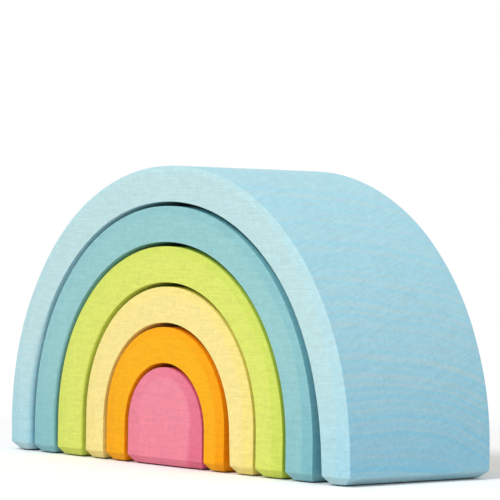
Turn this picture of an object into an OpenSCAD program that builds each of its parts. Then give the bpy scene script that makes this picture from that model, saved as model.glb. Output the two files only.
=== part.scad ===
// Nesting rainbow of solid wood: five arches and a half-round core.
// X runs across the feet, Y from front to back and Z up. The origin is on the
// floor under the middle of the outer arch. All sizes are in millimetres.

/* [Outer arch] */
// Width over the feet of the outer arch
overall_w = 170; // [150:1:230]
// Height of the straight part of the outer arch's legs
leg_h = 7.2; // [4:0.1:40]
// Depth of every piece, from front to back
depth = 57; // [30:1:100]

/* [Bands] */
// Thickness of every arch at its crown
crown_t = 11.1; // [9:0.1:12]
// Thickness of each leg of the sky blue arch
sky_leg_t = 11.9; // [9:0.1:14]
// Thickness of each leg of the teal arch
teal_leg_t = 11.5; // [9:0.1:14]
// Mean thickness of the legs of the green arch
green_leg_t = 12.7; // [9:0.1:14]
// Mean thickness of the legs of the yellow arch
yellow_leg_t = 10.6; // [8:0.1:13]
// Mean thickness of the legs of the orange arch
orange_leg_t = 9.8; // [7.5:0.1:12]
// How far the opening of the green arch is sawn to the right of its middle
green_shift = 1; // [-1.5:0.1:1.5]
// How far the opening of the yellow arch is sawn to the right of its middle
yellow_shift = -0.5; // [-1.5:0.1:1.5]
// How far the opening of the orange arch is sawn to the right of its middle
orange_shift = 0.5; // [-1.5:0.1:1.5]

/* [Nesting] */
// Mean gap beside the teal arch, on each side of it, within the arch around it
teal_gap = 3.1; // [1:0.05:4]
// Mean gap beside the green arch
green_gap = 1.85; // [1:0.05:4]
// Mean gap beside the yellow arch
yellow_gap = 1.75; // [1:0.05:4]
// Mean gap beside the orange arch
orange_gap = 1.8; // [1:0.05:4]
// Mean gap beside the pink core
core_gap = 1.25; // [1:0.05:4]
// Gap above a piece, under the arch around it
crown_gap = 1.25; // [0.8:0.05:3]
// Least gap that stays beside a piece which leans all the way to one side
least_gap = 0.4; // [0.3:0.1:0.8]
// Where the teal arch stands in its play, from left to right
teal_lean = -0.25; // [-1:0.05:1]
// Where the green arch stands in its play
green_lean = -0.1; // [-1:0.05:1]
// Where the yellow arch stands in its play
yellow_lean = 0; // [-1:0.05:1]
// Where the orange arch stands in its play
orange_lean = -0.55; // [-1:0.05:1]
// Where the pink core stands in its play
core_lean = -0.3; // [-1:0.05:1]

/* [Edges] */
// Radius of the eased rims, outside and in the openings
rim_r = 0.3; // [0.3:0.1:2]
// Height of the chamfer along every bottom edge of the feet
foot_chamfer_h = 2.6; // [0.5:0.1:4]
// How far that chamfer reaches in under the foot
foot_chamfer_w = 1.7; // [0.3:0.1:3]
// How far it reaches in along the outer edges of the sky blue arch
sky_foot_chamfer_w = 3.2; // [0.3:0.1:5]
// Width of the sanded facet along the outer rim of the sky blue arch
sky_facet_w = 5.5; // [1:0.1:7]
// Depth of that facet at the rim of the sky blue arch
sky_facet_d = 1.1; // [0.1:0.1:2]
// Width of the sanded facet along the outer rims of the arches inside it
facet_w = 5; // [1:0.1:6]
// Depth of that facet at the rims of the arches inside it
facet_d = 0.5; // [0.1:0.1:2]
// Width of the sanded facet along the rim of the pink core
core_facet_w = 7; // [1:0.1:9]
// Depth of that facet at the rim of the pink core
core_facet_d = 0.6; // [0.1:0.1:2]

/* [Hidden] */
$fn = 180;

// How far a cutting solid reaches past the face that it cuts
over = 1;

// A piece is held as [middle, half width, leg height]: where it stands along X,
// half its width, and the height at which its straight legs turn into the round.
function opening_in(piece, leg_t, shift = 0) =
    [piece[0] + shift, piece[1] - leg_t, piece[2] + leg_t - crown_t];
function nested_in(opening, gap, lean) =
    [opening[0] + lean * play(gap), opening[1] - gap, opening[2] + gap - crown_gap];

// Sideways travel that leaves the least gap beside the legs and along the round,
// where the rounds of the two pieces have their middles one above the other
function play(gap) =
    let (rise = max(gap - crown_gap, 0))
    sqrt(max(pow(gap - least_gap, 2) - pow(rise, 2), 0));

sky = [0, overall_w / 2, leg_h];
sky_opening = opening_in(sky, sky_leg_t);
teal = nested_in(sky_opening, teal_gap, teal_lean);
teal_opening = opening_in(teal, teal_leg_t);
green = nested_in(teal_opening, green_gap, green_lean);
green_opening = opening_in(green, green_leg_t, green_shift);
yellow = nested_in(green_opening, yellow_gap, yellow_lean);
yellow_opening = opening_in(yellow, yellow_leg_t, yellow_shift);
orange = nested_in(yellow_opening, orange_gap, orange_lean);
orange_opening = opening_in(orange, orange_leg_t, orange_shift);
core = nested_in(orange_opening, core_gap, core_lean);

// Half section from the axis to radius r, with round outer corners
module eased_section(r) {
    translate([0, -depth / 2 + rim_r]) square([r, depth - 2 * rim_r]);
    translate([0, -depth / 2]) square([r - rim_r, depth]);
    for (end = [-1, 1])
        translate([r - rim_r, end * (depth / 2 - rim_r)]) circle(rim_r);
}

// The same half section with a flat facet sanded off along both outer rims
module faceted_section(r, width, fall) {
    intersection() {
        eased_section(r);
        polygon([
            [0, -depth / 2],
            [r - width, -depth / 2],
            [r, -depth / 2 + fall],
            [r, depth / 2 - fall],
            [r - width, depth / 2],
            [0, depth / 2]
        ]);
    }
}

// Half section of an opening of radius r, which widens round its two mouths
module mouth_section(r) {
    translate([0, -depth / 2 - over]) square([r, depth + 2 * over]);
    for (end = [0, 1])
        mirror([0, end])
            difference() {
                translate([r - rim_r, depth / 2 - rim_r]) square([2 * rim_r, rim_r + over]);
                translate([r + rim_r, depth / 2 - rim_r]) circle(rim_r);
            }
}

// Upright shape of the section in children(): round on top, with straight
// legs from the height bottom up to where the round starts
module tunnel(shape, bottom) {
    translate([shape[0], 0, shape[2]])
        rotate([90, 0, 0])
            rotate_extrude(angle = 180) children();
    translate([shape[0], 0, bottom])
        linear_extrude(height = shape[2] - bottom)
            for (side = [0, 1])
                mirror([side, 0]) children();
}

// Wedge that chamfers one bottom edge, which runs along Y through the origin
module foot_wedge(length, width) {
    slope = foot_chamfer_h / width;
    rotate([90, 0, 0])
        linear_extrude(height = length, center = true)
            polygon([
                [-width - over / slope, -over],
                [over, foot_chamfer_h + over * slope],
                [over, -over]
            ]);
}

// Chamfers on the long front and back bottom edges and on the two outer ones
module outer_foot_cuts(piece, width) {
    for (side = [0, 1]) {
        translate([piece[0], 0, 0])
            mirror([side, 0, 0])
                translate([piece[1], 0, 0])
                    foot_wedge(depth + 2 * over, width);
        rotate([0, 0, 90 + side * 180])
            translate([depth / 2, 0, 0])
                foot_wedge(overall_w + 2 * over, foot_chamfer_w);
    }
}

// Chamfers on the two bottom edges along an opening
module inner_foot_cuts(opening) {
    for (side = [0, 1])
        translate([opening[0], 0, 0])
            mirror([side, 0, 0])
                translate([-opening[1], 0, 0])
                    foot_wedge(depth + 2 * over, foot_chamfer_w);
}

// An arch: the outside in children(), less its opening and its foot chamfers
module arch(piece, opening, outer_chamfer_w) {
    difference() {
        tunnel(piece, 0) children();
        tunnel(opening, -over) mouth_section(opening[1]);
        outer_foot_cuts(piece, outer_chamfer_w);
        inner_foot_cuts(opening);
    }
}

module sky_blue_arch() {
    color("#BFE2EA")
        arch(sky, sky_opening, sky_foot_chamfer_w)
            faceted_section(sky[1], sky_facet_w, sky_facet_d);
}

module teal_arch() {
    color("#97CACB")
        arch(teal, teal_opening, foot_chamfer_w)
            faceted_section(teal[1], facet_w, facet_d);
}

module green_arch() {
    color("#DEEC6C")
        arch(green, green_opening, foot_chamfer_w)
            faceted_section(green[1], facet_w, facet_d);
}

module yellow_arch() {
    color("#FCEB97")
        arch(yellow, yellow_opening, foot_chamfer_w)
            faceted_section(yellow[1], facet_w, facet_d);
}

module orange_arch() {
    color("#FEB72C")
        arch(orange, orange_opening, foot_chamfer_w)
            faceted_section(orange[1], facet_w, facet_d);
}

module pink_core() {
    color("#F38FA0")
        difference() {
            tunnel(core, 0) faceted_section(core[1], core_facet_w, core_facet_d);
            outer_foot_cuts(core, foot_chamfer_w);
        }
}

sky_blue_arch();
teal_arch();
green_arch();
yellow_arch();
orange_arch();
pink_core();
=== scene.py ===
# %% [markdown]
# # A nesting rainbow of stained linden
# The toy is six loose pieces of one block of linden: five arches, which stand one inside the other,
# and a half-round core. Each piece was sawn out, sanded by hand and stained in its own colour.
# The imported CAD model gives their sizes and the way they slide, so it is loaded first and stays as it is.
# The looks are built around it: eased edges, sanded facets, the grain and the stain.

# %% Load the frame
import math

import bmesh
import bpy
from mathutils import Matrix, Vector, noise


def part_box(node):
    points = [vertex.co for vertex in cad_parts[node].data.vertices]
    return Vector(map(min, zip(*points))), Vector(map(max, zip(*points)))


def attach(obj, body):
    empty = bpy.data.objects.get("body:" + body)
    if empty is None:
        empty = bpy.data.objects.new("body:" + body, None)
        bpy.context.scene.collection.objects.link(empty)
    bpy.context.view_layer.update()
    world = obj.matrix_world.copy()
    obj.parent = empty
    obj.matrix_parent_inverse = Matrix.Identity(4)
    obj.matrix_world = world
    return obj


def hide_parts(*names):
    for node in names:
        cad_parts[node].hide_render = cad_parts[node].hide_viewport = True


MM = 0.001
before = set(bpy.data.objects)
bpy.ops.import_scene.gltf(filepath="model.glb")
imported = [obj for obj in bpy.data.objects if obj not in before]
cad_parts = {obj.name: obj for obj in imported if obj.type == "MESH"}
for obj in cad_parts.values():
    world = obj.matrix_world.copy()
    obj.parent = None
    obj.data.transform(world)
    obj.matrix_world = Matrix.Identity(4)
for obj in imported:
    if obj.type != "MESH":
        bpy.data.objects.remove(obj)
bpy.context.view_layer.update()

# %% [markdown]
# ## Reading the sizes off the solids
# An arch is two round curves on straight legs. The height where a leg turns into the round is called the
# springing. Outer curve and opening have springings of their own, because a leg is thicker than the crown,
# and an opening that was sawn a little off the middle has a shift.
# The bottom edges are chamfered, so the flat sole reaches less far out than the foot above it.
# All of it can be read from the corners of the CAD solids, so no size is written twice.

# %% Measure a piece
# Millimetres, but for the fan, which is the share of the core's half width that its middle line climbs
LEG_ZONE = 5
TINY = 0.01
CORE_FAN = 0.3
# Two openings spread at their right foot, by an uneven cut that the solids leave out
FOOT_SPREAD = {"sky_blue_arch": 1.3, "yellow_arch": 1.1}


def measure(name):
    """Sizes of a piece in millimetres, read off its CAD solid."""
    low, high = (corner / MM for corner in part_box(name))
    middle = (low.x + high.x) / 2
    half = (high.x - low.x) / 2
    points = [vertex.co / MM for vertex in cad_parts[name].data.vertices]
    sole = [point for point in points if point.z < TINY]
    size = {"middle": middle, "half": half, "springing": high.z - half, "depth": high.y - low.y}
    size["spread"] = FOOT_SPREAD.get(name, 0)
    size["reach"] = high.y - max(point.y for point in sole)
    size["outer_reach"] = half - max(abs(point.x - middle) for point in sole)
    size["chamfer"] = min(point.z for point in points if abs(point.x - middle) > half - TINY)
    if name == "pink_core":
        return size | {"hole": 0, "hole_rise": CORE_FAN * half, "hole_springing": high.z - half, "shift": 0}
    feet = [point.x - middle for point in points if point.z < LEG_ZONE]
    right = min(x for x in feet if x > 0)
    left = max(x for x in feet if x < 0)
    hole = (right - left) / 2
    shift = (right + left) / 2
    near_crown = [(point.x - middle - shift, point.z) for point in points if abs(point.x - middle) < hole / 2]
    springing = min(z - math.sqrt(hole**2 - x**2) for x, z in near_crown)
    return size | {"hole": hole, "hole_rise": hole, "hole_springing": springing, "shift": shift}


PIECES = ["sky_blue_arch", "teal_arch", "green_arch", "yellow_arch", "orange_arch", "pink_core"]
sizes = {name: measure(name) for name in PIECES}
for name, size in sizes.items():
    print(name, {key: round(value, 2) for key, value in size.items()})

# %% [markdown]
# ## Edges that a hand has sanded
# No edge of a wooden toy is sharp. One tool does all of them here: it walks round an outline of straight
# lines and puts an arc in each corner. A Bevel modifier could do it too, but it treats every edge alike,
# and here the rims, the shallow facets and the foot chamfers each have a radius of their own.
# Below its chamfer a foot is undercut a little, which leaves a thin dark line along the floor, deepened in
# the material by painted contact shade.

# %% Round the corners of an outline


def eased(corners, closed):
    """Points of an outline with rounded corners, as (place, corner number, whether it is on the arc).

    A corner is (place, radius, steps of its arc, points on the straight run that follows it).
    """
    arcs = []
    for number, (place, radius, steps, _) in enumerate(corners):
        if not closed and number in (0, len(corners) - 1):
            arcs.append([place])
            continue
        back = (corners[number - 1][0] - place).normalized()
        ahead = (corners[(number + 1) % len(corners)][0] - place).normalized()
        turn = math.pi - back.angle(ahead)
        start = place + back * radius * math.tan(turn / 2)
        centre = place + (back + ahead).normalized() * radius / math.cos(turn / 2)
        way = -1 if back.cross(ahead) > 0 else 1
        angles = [way * turn * step / steps for step in range(steps + 1)]
        arcs.append([centre + Matrix.Rotation(angle, 2) @ (start - centre) for angle in angles])
    points = []
    for number, arc in enumerate(arcs):
        points += [(place, number, True) for place in arc]
        if closed or number < len(arcs) - 1:
            end = arcs[(number + 1) % len(arcs)][0]
            run = corners[number][3]
            shares = [step / (run + 1) for step in range(1, run + 1)]
            points += [(arc[-1].lerp(end, share), number, False) for share in shares]
    return points


FOOT_EASE = 0.5
FOOT_STEPS = 4
FOOT_TOP = 1
SOLE_EASE = 0.3
SOLE_STEPS = 3
SOLE_MARGIN = 1.2
SOLE_LIFT = 0.45
CHAMFER_POINTS = 2


def foot_profile(size):
    """Steps up the chamfered edge of a foot, each (share of the chamfer's reach, height)."""
    corners = [
        (Vector((size["reach"] + SOLE_MARGIN, 0)), 0, 0, 0),
        (Vector((size["reach"], SOLE_LIFT)), SOLE_EASE, SOLE_STEPS, CHAMFER_POINTS),
        (Vector((0, size["chamfer"])), FOOT_EASE, FOOT_STEPS, 0),
        (Vector((0, size["chamfer"] + FOOT_TOP)), 0, 0, 0),
    ]
    return [(place.x / size["reach"], place.y) for place, number, on_arc in eased(corners, closed=False)]


print("steps up a foot:", len(foot_profile(sizes["sky_blue_arch"])))

# %% [markdown]
# ## The section of a band
# Cut across, an arch is a rectangle with a flat facet sanded off along its two outer rims. The facet leans
# only a few degrees, so it shows as a slight change of tone down each leg, and it runs out towards the crown.
# Sanding by hand is uneven: the radius of a rim and the width of a facet drift a little on their way round,
# and three left legs are rounder than the rest along their opening.

# %% Draw the section of a band
RIM = 0.2
RIM_STEPS = 7
RIM_UNEVEN = 0.35
MOUTH_RIM = 0.15
MOUTH_STEPS = 5
# Some left legs are sanded rounder along the opening, from the foot to about half the height of the toy
ROUNDED_LEG = {"sky_blue_arch": 1.8, "teal_arch": 0.9, "green_arch": 0.7}
ROUNDED_MM = (35, 52)
CREASE_EASE = 3
CREASE_STEPS = 3
FACET_UNEVEN = 0.25
WIDEST_FACET = 0.9
UNEVEN_WAVE = 24
FACE_POINTS = 8
FACET_POINTS = 4
SIDE_POINTS = 22
TUNNEL_POINTS = 14
# Corners and stretches of the outline, by the numbers that its corners have below
RIM_NUMBERS = {"arch": (0, 2, 3, 5), "core": (2, 3)}
# Rims are paler by this share of the mark: worn stain with a painted highlight
RIM_WEAR_AND_HIGHLIGHT = 0.15
# In the tunnels the wood is painted lighter, as painted light in the gaps
TUNNEL = (5, False)
FACET_STRETCHES = ((1, False), (2, True), (3, True), (3, False))
# Width of a facet, its fall at the rim, the share of it that is gone at the crown, and how much darker it is:
# deeper stain with painted shade
FACETS = {name: (5, 0.5, 0.4, 1) for name in PIECES}
FACETS |= {"sky_blue_arch": (5.5, 1.1, 0.7, 0.4), "pink_core": (7, 0.6, 0.5, 1.5)}


def uneven(place, spread):
    """A factor that drifts by up to spread along a piece, the same on every run."""
    return 1 + spread * noise.noise(Vector(place) / UNEVEN_WAVE)


def mouth_rim(name, side, height):
    """Radius of the edge along the opening."""
    full, none = ROUNDED_MM
    rounded = min(1, max(0, (none - height) / (none - full)))
    return MOUTH_RIM + (rounded * ROUNDED_LEG.get(name, 0) if side < 0 else 0)


def section(name, outer, inner, share, side):
    """Outline of the band across its run: (distance from the opening, depth), the mark for paler places and
    the mark for darker facets.

    Share is how much of the foot chamfer is taken off here: 0 above it, and 1 or more at the sole.
    """
    size = sizes[name]
    place = (side * outer.x, 0, outer.y)
    thickness = (outer - inner).length
    rise = max(0, outer.y - size["springing"]) / size["half"]
    half_depth = size["depth"] / 2 - share * size["reach"]
    width, fall, narrowing, facet_darkening = FACETS[name]
    shrink = (1 - narrowing * rise) * uneven(place, FACET_UNEVEN)
    kind = "core" if name == "pink_core" else "arch"
    start = 0 if kind == "core" else share * size["reach"]
    end = thickness - share * size["outer_reach"]
    facet_share = min(WIDEST_FACET, width * shrink / thickness)
    crease = end - (end - start) * facet_share
    edge = half_depth - fall / width * (end - crease)
    rim = RIM * uneven(place, RIM_UNEVEN)
    mouth = mouth_rim(name, side, inner.y)
    corners = [
        (Vector((start, -half_depth)), mouth, MOUTH_STEPS, FACE_POINTS),
        (Vector((crease, -half_depth)), CREASE_EASE, CREASE_STEPS, FACET_POINTS),
        (Vector((end, -edge)), rim, RIM_STEPS, SIDE_POINTS),
        (Vector((end, edge)), rim, RIM_STEPS, FACET_POINTS),
        (Vector((crease, half_depth)), CREASE_EASE, CREASE_STEPS, FACE_POINTS),
        (Vector((start, half_depth)), mouth, MOUTH_STEPS, TUNNEL_POINTS),
    ]
    marks = []
    for point, number, on_arc in eased(corners, closed=kind == "arch"):
        on_rim = on_arc and number in RIM_NUMBERS[kind]
        # Paler places: worn stain with a painted highlight on the rims, painted light in the tunnels
        wear_and_light_mark = float((number, on_arc) == TUNNEL) + RIM_WEAR_AND_HIGHLIGHT * on_rim
        facet_mark = facet_darkening * ((number, on_arc) in FACET_STRETCHES)
        marks.append((point, wear_and_light_mark, facet_mark))
    return marks


leg_points = [Vector((sizes["teal_arch"][key], LEG_ZONE)) for key in ("half", "hole")]
print("points round a section:", len(section("teal_arch", *leg_points, share=0, side=1)))

# %% [markdown]
# ## The run of a band
# The section is carried from one sole up the leg, over the crown and down to the other sole. Towards a sole
# it shrinks step by step, which cuts the chamfer on all four bottom edges at once. The core has no
# opening, so the inner end of its section walks up the middle instead, and the two halves meet there.
# Sawn by eye, the curves are not quite true: the rounds are a touch fuller at the shoulders than a circle,
# some openings sit off the middle, and two spread at their right foot.

# %% Lay out the stations from sole to sole
LEG_STEPS = 4
LEAST_ROUND_STEPS = 32
ROUND_STEPS_PER_MM = 0.72
SPREAD_FROM = 30
# 2 would be a true circle, and a little more is fuller at the shoulders
FULLNESS = 2.04


def spread(size, side, height):
    """How far the opening has widened on this side at this height."""
    share = max(0, 1 - height / SPREAD_FROM)
    return size["spread"] * share**2 if side > 0 else 0


def half_run(size, side):
    """Stations from a sole up to the crown: (side, chamfer share, outer point, inner point).

    The side is 1 for the right leg and -1 for the left leg, and points are (distance to that side, height).
    """
    stations = []
    leg_x = size["hole"] + side * size["shift"]
    for share, height in foot_profile(size):
        inner = Vector((leg_x + spread(size, side, height), height))
        stations.append((side, share, Vector((size["half"], height)), inner))
    foot_outer, foot_inner = stations[-1][2:]
    leg_outer = Vector((size["half"], size["springing"]))
    leg_height = size["hole_springing"]
    leg_inner = Vector((leg_x + spread(size, side, leg_height), leg_height))
    for step in range(1, LEG_STEPS):
        share = step / LEG_STEPS
        stations.append((side, 0, foot_outer.lerp(leg_outer, share), foot_inner.lerp(leg_inner, share)))
    round_steps = max(LEAST_ROUND_STEPS, round(size["half"] * ROUND_STEPS_PER_MM))
    for step in range(round_steps + 1):
        angle = math.pi / 2 * step / round_steps
        across = math.cos(angle) ** (2 / FULLNESS)
        up = math.sin(angle) ** (2 / FULLNESS)
        outer = Vector((size["half"] * across, size["half"] * up + size["springing"]))
        inner_z = size["hole_rise"] * up + size["hole_springing"]
        inner_x = size["hole"] * across + side * size["shift"] + spread(size, side, inner_z)
        stations.append((side, 0, outer, Vector((inner_x, inner_z))))
    return stations


def full_run(size):
    """Up the right leg to the crown, then on down the left leg."""
    return half_run(size, 1) + half_run(size, -1)[-2::-1]


print("stations along the outer arch:", len(full_run(sizes["sky_blue_arch"])))

# %% [markdown]
# ## From stations to a mesh
# A row of points stands at every station, and neighbouring rows are bridged with four-sided faces. Two marks
# are kept on the points: one for rims, foot chamfers and tunnels, which come out paler, as worn stain with a
# painted highlight on the rims and as painted light on the chamfers and in the tunnels, and one for the
# facets, which come out darker, as a deeper stain with painted shade that darkens the right-hand facets far
# more than the left-hand ones. Last, the flats get a sanding wave of less than a tenth of a millimetre,
# inwards only.

# %% Bridge the rows
SANDED_OFF = 0.09
SANDING_WAVE = 16
# Share of the facet darkening that is painted shade, so that the right-hand facets come out far darker than
# the left-hand ones
RIGHT_FACET_SHADE = 0.4
MERGE_MM = 0.001


def sand(mesh, chamfer):
    """Takes a fine uneven layer off every face but the soles."""
    mesh.normal_update()
    for vertex in mesh.verts:
        share = min(1, vertex.co.z / (chamfer * MM))
        wave = (1 + noise.noise(vertex.co / (SANDING_WAVE * MM))) / 2
        vertex.co -= vertex.normal * SANDED_OFF * MM * wave * share


def carve(name):
    """The mesh of one piece, swept along its run."""
    size = sizes[name]
    mesh = bmesh.new()
    wear_and_light_layer = mesh.verts.layers.float.new("wear_and_painted_light")
    facet_layer = mesh.verts.layers.float.new("facet")
    rows = []
    for side, share, outer, inner in full_run(size):
        across = (outer - inner).normalized()
        # Painted shade: the right-hand facets are darkened far more than the left-hand ones
        roughness = 1 - RIGHT_FACET_SHADE + RIGHT_FACET_SHADE * side * outer.x / size["half"]
        row = []
        for point, wear_and_light_mark, facet_mark in section(name, outer, inner, share, side):
            place = inner + across * point.x
            vertex = mesh.verts.new(Vector((size["middle"] + side * place.x, point.y, place.y)) * MM)
            # The foot chamfers get the full pale mark, as painted bounce light from the floor
            vertex[wear_and_light_layer] = 1 if share > 0 else wear_and_light_mark
            vertex[facet_layer] = facet_mark * roughness
            row.append(vertex)
        rows.append(row)
    for row, following in zip(rows, rows[1:]):
        for step in range(len(row) if size["hole"] else len(row) - 1):
            after = (step + 1) % len(row)
            mesh.faces.new((row[step], row[after], following[after], following[step]))
    mesh.faces.new(rows[0])
    mesh.faces.new(rows[-1])
    bmesh.ops.remove_doubles(mesh, verts=mesh.verts, dist=MERGE_MM * MM)
    bmesh.ops.recalc_face_normals(mesh, faces=mesh.faces)
    sand(mesh, size["chamfer"])
    return mesh


print("sanded off at most, in mm:", SANDED_OFF)

# %% [markdown]
# ## Colours and nodes
# Two small helpers serve every material. Colours are written as the sRGB hex values that an eye would pick
# off the wood, and shaders want linear light, so one function converts them. The other adds a node,
# sets it up and links it in one call, which keeps a material readable from top to bottom.

# %% Two helpers for materials


def linear(code):
    """An sRGB hex colour as linear red, green, blue and alpha."""
    channels = [int(code[start : start + 2], 16) / 255 for start in (1, 3, 5)]
    light = [c / 12.92 if c <= 0.04045 else ((c + 0.055) / 1.055) ** 2.4 for c in channels]
    return (*light, 1)


def add_node(tree, kind, inputs=None, **settings):
    """Adds a node to a tree. An input is a plain value, or a socket that is linked to it."""
    made = tree.nodes.new(kind)
    for key, value in settings.items():
        setattr(made, key, value)
    for key, value in (inputs or {}).items():
        if isinstance(value, bpy.types.NodeSocket):
            tree.links.new(value, made.inputs[key])
        else:
            made.inputs[key].default_value = value
    return made


print("pale linden in linear light:", [round(value, 3) for value in linear("#EAD9B8")])

# %% [markdown]
# ## The grain of the block
# Linden is a pale, even wood. Its fibres run across the toy, from foot to foot, and its yearly rings lie as
# almost level layers. The front therefore shows fine level lines, while the outer side of a leg is end grain,
# where the rings come out as wavy bands that fade in and out in patches. All six pieces are one block, so
# one node group in block coordinates serves them all, and the bands run on from piece to piece.

# %% Start the grain group in millimetres
grain = bpy.data.node_groups.new("linden_grain", "ShaderNodeTree")
# The last output is painted contact shade just above the floor
for label in ("Rings", "Fibres", "Sanding", "Mottle", "End grain", "Foot", "Contact shade"):
    grain.interface.new_socket(label, in_out="OUTPUT", socket_type="NodeSocketFloat")
grain_out = grain.nodes.new("NodeGroupOutput")
surface = add_node(grain, "ShaderNodeTexCoord")
place_mm = add_node(
    grain, "ShaderNodeVectorMath", {0: surface.outputs["Object"], "Scale": 1 / MM}, operation="SCALE"
).outputs[0]
print("started:", grain.name)

# %% Yearly rings
RING_MM = 1.8
RING_EDGE = (0.35, 0.65)
PATCH_SIZE_MM = (60, 9, 5)
PATCH_EDGE = (0.3, 0.7)
FAINTEST_RING = 0.5
PITH_MM = (0, -18, -90)
WARPS_MM = (((120, 40, 40), 7), ((30, 8, 8), 0.8))

from_pith = add_node(grain, "ShaderNodeVectorMath", {0: place_mm, 1: PITH_MM}, operation="SUBTRACT")
across_fibres = add_node(
    grain, "ShaderNodeVectorMath", {0: from_pith.outputs[0], 1: (0, 1, 1)}, operation="MULTIPLY"
)
distance = add_node(grain, "ShaderNodeVectorMath", {0: across_fibres.outputs[0]}, operation="LENGTH")
radius = distance.outputs["Value"]
for warp_size, amount in WARPS_MM:
    scales = [1 / size for size in warp_size]
    spot = add_node(grain, "ShaderNodeVectorMath", {0: place_mm, 1: scales}, operation="MULTIPLY").outputs[0]
    warp = add_node(grain, "ShaderNodeTexNoise", {"Vector": spot, "Scale": 1, "Detail": 2, "Roughness": 0.5})
    radius = add_node(
        grain, "ShaderNodeMath", {0: warp.outputs[0], 1: amount, 2: radius}, operation="MULTIPLY_ADD"
    ).outputs[0]
layers = add_node(
    grain,
    "ShaderNodeTexNoise",
    {"W": radius, "Scale": 1 / RING_MM, "Detail": 1, "Roughness": 0.5},
    noise_dimensions="1D",
)
early_end, late_start = RING_EDGE
late_wood = add_node(
    grain,
    "ShaderNodeMapRange",
    {"Value": layers.outputs[0], "From Min": early_end, "From Max": late_start},
    interpolation_type="SMOOTHSTEP",
)
scales = [1 / size for size in PATCH_SIZE_MM]
spot = add_node(grain, "ShaderNodeVectorMath", {0: place_mm, 1: scales}, operation="MULTIPLY").outputs[0]
patches = add_node(grain, "ShaderNodeTexNoise", {"Vector": spot, "Scale": 1, "Detail": 2, "Roughness": 0.6})
faint, clear = PATCH_EDGE
clear_share = add_node(
    grain,
    "ShaderNodeMapRange",
    {"Value": patches.outputs[0], "From Min": faint, "From Max": clear, "To Min": FAINTEST_RING},
)
rings = add_node(
    grain, "ShaderNodeMath", {0: late_wood.outputs[0], 1: clear_share.outputs[0]}, operation="MULTIPLY"
)
grain.links.new(rings.outputs[0], grain_out.inputs["Rings"])
print("ring layers in mm:", RING_MM)

# %% Fibres, sanding marks and mottle
# A real fibre is far too fine to show, so bundles of fibres are drawn
FIBRE_SIZE_MM = (6, 0.5, 0.5)
STROKE_SIZE_MM = (6, 9, 0.6)
STROKE_ANGLE = -18
MOTTLE_MM = 1.6

scales = [1 / size for size in FIBRE_SIZE_MM]
spot = add_node(grain, "ShaderNodeVectorMath", {0: place_mm, 1: scales}, operation="MULTIPLY").outputs[0]
fibres = add_node(grain, "ShaderNodeTexNoise", {"Vector": spot, "Scale": 1, "Detail": 2, "Roughness": 0.6})
grain.links.new(fibres.outputs[0], grain_out.inputs["Fibres"])
turned = add_node(
    grain,
    "ShaderNodeVectorRotate",
    {"Vector": place_mm, "Angle": math.radians(STROKE_ANGLE)},
    rotation_type="X_AXIS",
).outputs[0]
scales = [1 / size for size in STROKE_SIZE_MM]
spot = add_node(grain, "ShaderNodeVectorMath", {0: turned, 1: scales}, operation="MULTIPLY").outputs[0]
strokes = add_node(grain, "ShaderNodeTexNoise", {"Vector": spot, "Scale": 1, "Detail": 1, "Roughness": 0.5})
grain.links.new(strokes.outputs[0], grain_out.inputs["Sanding"])
mottle = add_node(
    grain, "ShaderNodeTexNoise", {"Vector": place_mm, "Scale": 1 / MOTTLE_MM, "Detail": 4, "Roughness": 0.6}
)
grain.links.new(mottle.outputs[0], grain_out.inputs["Mottle"])
print("fibres, strokes and mottle in mm:", FIBRE_SIZE_MM, STROKE_SIZE_MM, MOTTLE_MM)

# %% End grain and feet
FOOT_STAIN_MM = 42
# Painted contact shade just above the floor: dark up to the first height, and gone at the second
CONTACT_SHADE_MM = (0.35, 0.6)
# The sawn rounds are rougher than the planed faces, so up to the crown they count mostly as end grain
SAWN_SHARE = 0.58

facing = add_node(grain, "ShaderNodeSeparateXYZ", {0: surface.outputs["Normal"]})
sideways = add_node(grain, "ShaderNodeMath", {0: facing.outputs["X"]}, operation="ABSOLUTE")
frontways = add_node(grain, "ShaderNodeMath", {0: facing.outputs["Y"]}, operation="ABSOLUTE")
sawn = add_node(
    grain,
    "ShaderNodeMath",
    {0: frontways.outputs[0], 1: -SAWN_SHARE, 2: SAWN_SHARE},
    operation="MULTIPLY_ADD",
)
end_share = add_node(
    grain,
    "ShaderNodeMath",
    {0: sideways.outputs[0], 1: 1 - SAWN_SHARE, 2: sawn.outputs[0]},
    operation="MULTIPLY_ADD",
)
grain.links.new(end_share.outputs[0], grain_out.inputs["End grain"])
height = add_node(grain, "ShaderNodeSeparateXYZ", {0: place_mm}).outputs["Z"]
foot = add_node(
    grain,
    "ShaderNodeMapRange",
    {"Value": height, "From Min": 0, "From Max": FOOT_STAIN_MM, "To Min": 1, "To Max": 0},
    interpolation_type="SMOOTHSTEP",
)
grain.links.new(foot.outputs[0], grain_out.inputs["Foot"])
contact_shade_top, contact_shade_end = CONTACT_SHADE_MM
contact_shade = add_node(
    grain,
    "ShaderNodeMapRange",
    {"Value": height, "From Min": contact_shade_top, "From Max": contact_shade_end, "To Min": 1, "To Max": 0},
)
grain.links.new(contact_shade.outputs[0], grain_out.inputs["Contact shade"])
print("nodes in the grain group:", len(grain.nodes))

# %% [markdown]
# ## Stain on linden
# The toy is stained and oiled, not painted: the colour soaks in and the wood shows through. Face grain takes
# little stain, while end grain and the sawn rounds drink it, so each finish is a mix of a pale and a deep
# tone of one colour, driven by the grain. The dense late wood of each ring keeps some of the linden's own
# ochre. The pieces dry on their feet, where the stain gathers, most of all the two watery blues. In step with
# that, rims come out paler, as worn stain with a painted highlight, while foot chamfers and tunnels are
# painted lighter, as painted light. The facets come out darker, as a deeper stain with painted shade on the
# right-hand ones, and just above the floor the wood is darkened by painted contact shade.
# Fibres, sanding strokes and mottle change only the lightness. The surface is matte, with the faint sheen
# of dry oil.

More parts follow.
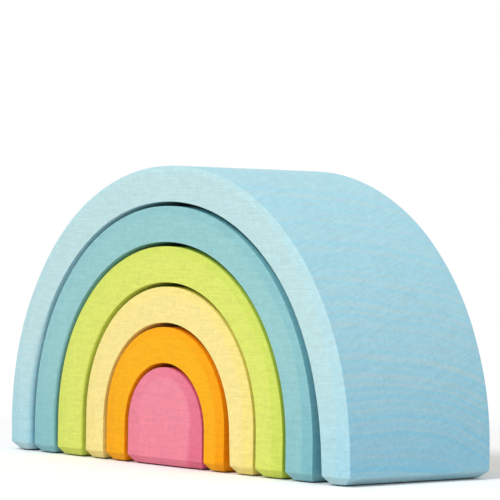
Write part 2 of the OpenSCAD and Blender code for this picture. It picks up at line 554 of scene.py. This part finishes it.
# %% Build one stained finish
OIL_IOR = 1.47
DRY_GLOSS = 0.1
ROUGHNESS = 0.5
ROUGHNESS_SPREAD = 0.2
STROKE_RELIEF = 0.6
RELIEF_STRENGTH = 0.35
RELIEF_MM = 0.05
FACE_SOAK = 0.25
END_SOAK = 0.5
# Darker facets: a deeper stain, with painted shade on the right-hand ones
FACET_STAIN_AND_SHADE = 0.26
# How much paler a marked rim, foot chamfer or tunnel is, as a share of what gathers at a foot: worn stain
# with a painted highlight on the rims, painted light elsewhere
WEAR_AND_LIGHT_SHARE = -1.2
LATE_ON_FACE = 0.1
LATE_ON_END = 0.4
LIGHTNESS = {"Fibres": 0.17, "Sanding": 0.17, "Mottle": 0.24}
# How much painted contact shade darkens the wood just above the floor
PAINTED_CONTACT_SHADE = -0.6


def stained_linden(name, pale, deep, late, run):
    """Linden under a watery coloured stain, sanded and oiled: matte, with the grain showing through."""
    material = bpy.data.materials.new(name)
    material.use_nodes = True
    tree = material.node_tree
    tree.nodes.clear()
    wood = add_node(tree, "ShaderNodeGroup", node_tree=grain).outputs
    # Darker facets: a deeper stain, with painted shade on the right-hand ones
    facet = add_node(tree, "ShaderNodeAttribute", attribute_name="facet").outputs["Fac"]
    # Paler rims, foot chamfers and tunnels: worn stain on the rims, painted light and a painted highlight
    wear_and_painted_light = add_node(tree, "ShaderNodeAttribute", attribute_name="wear_and_painted_light").outputs["Fac"]
    # The share of the deep tone, driven by real stain, by painted shade on the facets and by painted light on
    # the paler places
    deep_tone_share = FACE_SOAK
    deepening_layers = (
        (wood["End grain"], END_SOAK),
        (wood["Foot"], run),
        (facet, FACET_STAIN_AND_SHADE),
        (wear_and_painted_light, WEAR_AND_LIGHT_SHARE * run),
    )
    for layer, weight in deepening_layers:
        deep_tone_share = add_node(
            tree, "ShaderNodeMath", {0: layer, 1: weight, 2: deep_tone_share}, operation="MULTIPLY_ADD", use_clamp=True
        ).outputs[0]
    stain = add_node(
        tree, "ShaderNodeMix", {"Factor": deep_tone_share, "A": linear(pale), "B": linear(deep)}, data_type="RGBA"
    )
    late_weight = add_node(
        tree,
        "ShaderNodeMath",
        {0: wood["End grain"], 1: LATE_ON_END, 2: LATE_ON_FACE},
        operation="MULTIPLY_ADD",
    )
    late_share = add_node(
        tree, "ShaderNodeMath", {0: wood["Rings"], 1: late_weight.outputs[0]}, operation="MULTIPLY"
    )
    ringed = add_node(
        tree,
        "ShaderNodeMix",
        {"Factor": late_share.outputs[0], "A": stain.outputs["Result"], "B": linear(late)},
        data_type="RGBA",
    )
    lightness = 1 - sum(LIGHTNESS.values()) / 2
    # The last layer darkens the wood just above the floor, as painted contact shade
    for layer, weight in (*LIGHTNESS.items(), ("Contact shade", PAINTED_CONTACT_SHADE)):
        lightness = add_node(
            tree, "ShaderNodeMath", {0: wood[layer], 1: weight, 2: lightness}, operation="MULTIPLY_ADD"
        ).outputs[0]
    colour = add_node(
        tree, "ShaderNodeHueSaturation", {"Value": lightness, "Color": ringed.outputs["Result"]}
    )
    relief = add_node(
        tree,
        "ShaderNodeMath",
        {0: wood["Sanding"], 1: STROKE_RELIEF, 2: wood["Fibres"]},
        operation="MULTIPLY_ADD",
    )
    bump = add_node(
        tree,
        "ShaderNodeBump",
        {"Height": relief.outputs[0], "Strength": RELIEF_STRENGTH, "Distance": RELIEF_MM * MM},
    )
    roughness = add_node(
        tree,
        "ShaderNodeMath",
        {0: wood["Fibres"], 1: ROUGHNESS_SPREAD, 2: ROUGHNESS},
        operation="MULTIPLY_ADD",
    )
    shader = add_node(
        tree,
        "ShaderNodeBsdfPrincipled",
        {
            "Base Color": colour.outputs[0],
            "Roughness": roughness.outputs[0],
            "Normal": bump.outputs[0],
            "IOR": OIL_IOR,
            "Specular IOR Level": DRY_GLOSS,
        },
    )
    add_node(tree, "ShaderNodeOutputMaterial", {"Surface": shader.outputs[0]})
    return material


# %% Stain the six colours
# The pale tone, the deep tone, the tone of the late wood, and how much of the stain gathers at the feet
STAINS = {
    "sky_blue_arch": ("#CDE8E2", "#92D4EC", "#C4DADB", 0.25),
    "teal_arch": ("#A5D6D4", "#73B6C4", "#89BABC", 0.2),
    "green_arch": ("#EBF07A", "#BDD84B", "#D2D95C", 0),
    "yellow_arch": ("#FEEDA5", "#F5E267", "#EFD98A", 0),
    "orange_arch": ("#FFC422", "#FA8D00", "#F2A420", 0.1),
    "pink_core": ("#FA9DAC", "#DF6384", "#E7889E", 0.05),
}
stains = {}
for name, tones in STAINS.items():
    colour_name = name.rsplit("_", 1)[0]
    stains[name] = stained_linden(colour_name + "_stained_linden", *tones)
    print("stained:", stains[name].name)

# %% [markdown]
# ## Putting the pieces in the frame
# Every mesh takes the place of its CAD solid and rides on that solid's body, so that it slides with it.
# Smooth shading with weighted normals keeps the flats flat while the arcs of the rims catch the light.

# %% Make and seat the six pieces


def seat(name):
    """Turns a swept mesh into the piece that stands for its CAD solid."""
    mesh = bpy.data.meshes.new(name + "_wood")
    shape = carve(name)
    shape.to_mesh(mesh)
    shape.free()
    mesh.polygons.foreach_set("use_smooth", [True] * len(mesh.polygons))
    mesh.materials.append(stains[name])
    piece = bpy.data.objects.new(name + "_wood", mesh)
    bpy.context.scene.collection.objects.link(piece)
    normals = piece.modifiers.new("flat_faces", "WEIGHTED_NORMAL")
    normals.keep_sharp = False
    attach(piece, name)
    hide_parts(name)
    return piece


for name in PIECES:
    piece = seat(name)
    print(piece.name, "faces:", len(piece.data.polygons))

# %% [markdown]
# ## Floor and background
# The toy stands on a white table top that runs into a white background. The floor is a matte disc that keeps
# the soft shadow. To the camera it is pure white with a faint glow, while the light that it throws back on
# the wood comes from a plainer white. With distance it fades to pure white for the camera only, so no edge
# shows and no extra light falls on the wood.

# %% Lay the floor
FLOOR_RADIUS = 1.5
FLOOR_SEGMENTS = 96
FADE_FROM = 0.15
FADE_TO = 0.35
FLOOR_SEEN = "#FFFFFF"
FLOOR_BOUNCE = "#E8E6E9"
FLOOR_GLOW = 0.04


def seen_directly(tree):
    """1 where a ray comes from the camera, a reflection or clear glass, and 0 for light on the wood."""
    path = add_node(tree, "ShaderNodeLightPath").outputs
    direct = add_node(
        tree, "ShaderNodeMath", {0: path["Is Camera Ray"], 1: path["Is Glossy Ray"]}, operation="MAXIMUM"
    )
    direct = add_node(
        tree, "ShaderNodeMath", {0: direct.outputs[0], 1: path["Is Transmission Ray"]}, operation="MAXIMUM"
    )
    return direct.outputs[0]


# A matte white laminate has no shine, only an even white and the soft shadow
table_top = bpy.data.materials.new("matte_white_table_top")
table_top.use_nodes = True
tree = table_top.node_tree
tree.nodes.clear()
spot = add_node(tree, "ShaderNodeTexCoord").outputs["Object"]
away = add_node(tree, "ShaderNodeVectorMath", {0: spot}, operation="LENGTH").outputs["Value"]
fade = add_node(
    tree,
    "ShaderNodeMapRange",
    {"Value": away, "From Min": FADE_FROM, "From Max": FADE_TO},
    interpolation_type="SMOOTHSTEP",
)
direct = seen_directly(tree)
white_share = add_node(tree, "ShaderNodeMath", {0: fade.outputs[0], 1: direct}, operation="MULTIPLY")
floor_colour = add_node(
    tree,
    "ShaderNodeMix",
    {"Factor": direct, "A": linear(FLOOR_BOUNCE), "B": linear(FLOOR_SEEN)},
    data_type="RGBA",
)
matte = add_node(tree, "ShaderNodeBsdfDiffuse", {"Color": floor_colour.outputs["Result"]})
glow = add_node(tree, "ShaderNodeEmission", {"Strength": 1})
floor_mix = add_node(
    tree, "ShaderNodeMixShader", {0: white_share.outputs[0], 1: matte.outputs[0], 2: glow.outputs[0]}
)
lift = add_node(tree, "ShaderNodeMath", {0: direct, 1: FLOOR_GLOW}, operation="MULTIPLY")
faint_glow = add_node(tree, "ShaderNodeEmission", {"Strength": lift.outputs[0]})
lifted = add_node(tree, "ShaderNodeAddShader", {0: floor_mix.outputs[0], 1: faint_glow.outputs[0]})
add_node(tree, "ShaderNodeOutputMaterial", {"Surface": lifted.outputs[0]})

floor_shape = bmesh.new()
bmesh.ops.create_circle(floor_shape, cap_ends=True, segments=FLOOR_SEGMENTS, radius=FLOOR_RADIUS)
floor_mesh = bpy.data.meshes.new("table_top")
floor_shape.to_mesh(floor_mesh)
floor_shape.free()
floor_mesh.materials.append(table_top)
floor = bpy.data.objects.new("table_top", floor_mesh)
bpy.context.scene.collection.objects.link(floor)
print("floor radius in metres:", FLOOR_RADIUS)

# %% [markdown]
# ## Light
# The light is that of a bright white tent: an even glow from all round, with a soft lamp high in front, a
# weak one above and a weak fill beside the camera. The high lamp throws the soft shadow straight back, the
# one above lightens the crown and the floor, and the fill reaches into the gaps between the pieces.
# Together they light a front face at about 1, so that a colour renders about as it is written.

# %% Light the toy
TENT_LEVEL = 0.46
MIDDLE = Vector((0, 0, 0.04))


def toward(azimuth, elevation):
    """Direction from the toy: azimuth 0 is straight in front, 90 is to the right."""
    turn = math.radians(azimuth)
    rise = math.radians(elevation)
    return Vector((math.sin(turn) * math.cos(rise), -math.cos(turn) * math.cos(rise), math.sin(rise)))


def softbox(name, azimuth, elevation, distance, width, level):
    """A square lamp aimed at the toy. Level 1 lights a white card that faces it to full white."""
    lamp = bpy.data.lights.new(name, "AREA")
    lamp.size = width
    lamp.energy = level * (math.pi * distance) ** 2
    holder = bpy.data.objects.new(name, lamp)
    back = toward(azimuth, elevation)
    holder.location = MIDDLE + back * distance
    holder.rotation_euler = back.to_track_quat("Z", "Y").to_euler()
    bpy.context.scene.collection.objects.link(holder)
    return holder


softbox("front_softbox", azimuth=8, elevation=50, distance=3, width=0.6, level=0.44)
softbox("top_softbox", azimuth=0, elevation=88, distance=1.5, width=0.8, level=0.16)
softbox("right_fill", azimuth=52, elevation=12, distance=0.6, width=0.4, level=0.14)
world = bpy.data.worlds.new("white_tent")
bpy.context.scene.world = world
world.use_nodes = True
tree = world.node_tree
tree.nodes.clear()
tent = add_node(tree, "ShaderNodeBackground", {"Color": (1, 1, 1, 1), "Strength": TENT_LEVEL})
backdrop = add_node(tree, "ShaderNodeBackground", {"Color": (1, 1, 1, 1), "Strength": 1})
sky_mix = add_node(
    tree, "ShaderNodeMixShader", {0: seen_directly(tree), 1: tent.outputs[0], 2: backdrop.outputs[0]}
)
add_node(tree, "ShaderNodeOutputWorld", {"Surface": sky_mix.outputs[0]})
bpy.context.scene.view_settings.view_transform = "Standard"
print("tent level:", TENT_LEVEL)

# %% [markdown]
# ## Camera
# The picture was taken with a long lens from the front right, a hand's breadth above the table and almost
# level. The angles and the distance come from fitting the arches' edges to the picture.

# %% Set up the camera
IMAGE_PX = 500
FOCAL_PX = 2585.4
SENSOR_MM = 36
AIM_MM = Vector((-5.49, 9.0, 66.74))
DISTANCE_MM = 818.7
AZIMUTH = 50.933
ELEVATION = -0.208
ROLL = 0.74
NEAREST_M = 0.05

lens = bpy.data.cameras.new("long_lens")
lens.sensor_width = SENSOR_MM
lens.lens = SENSOR_MM * FOCAL_PX / IMAGE_PX
lens.clip_start = NEAREST_M
camera = bpy.data.objects.new("camera", lens)
back = toward(AZIMUTH, ELEVATION)
right = Vector((0, 0, 1)).cross(back).normalized()
upright = Matrix((right, back.cross(right), back)).transposed()
tilt = Matrix.Rotation(math.radians(ROLL), 3, "Z")
camera.matrix_world = Matrix.Translation((AIM_MM + back * DISTANCE_MM) * MM) @ (upright @ tilt).to_4x4()
bpy.context.scene.collection.objects.link(camera)
bpy.context.scene.camera = camera
print("lens in mm:", round(lens.lens, 1), "camera at", [round(value, 3) for value in camera.location])
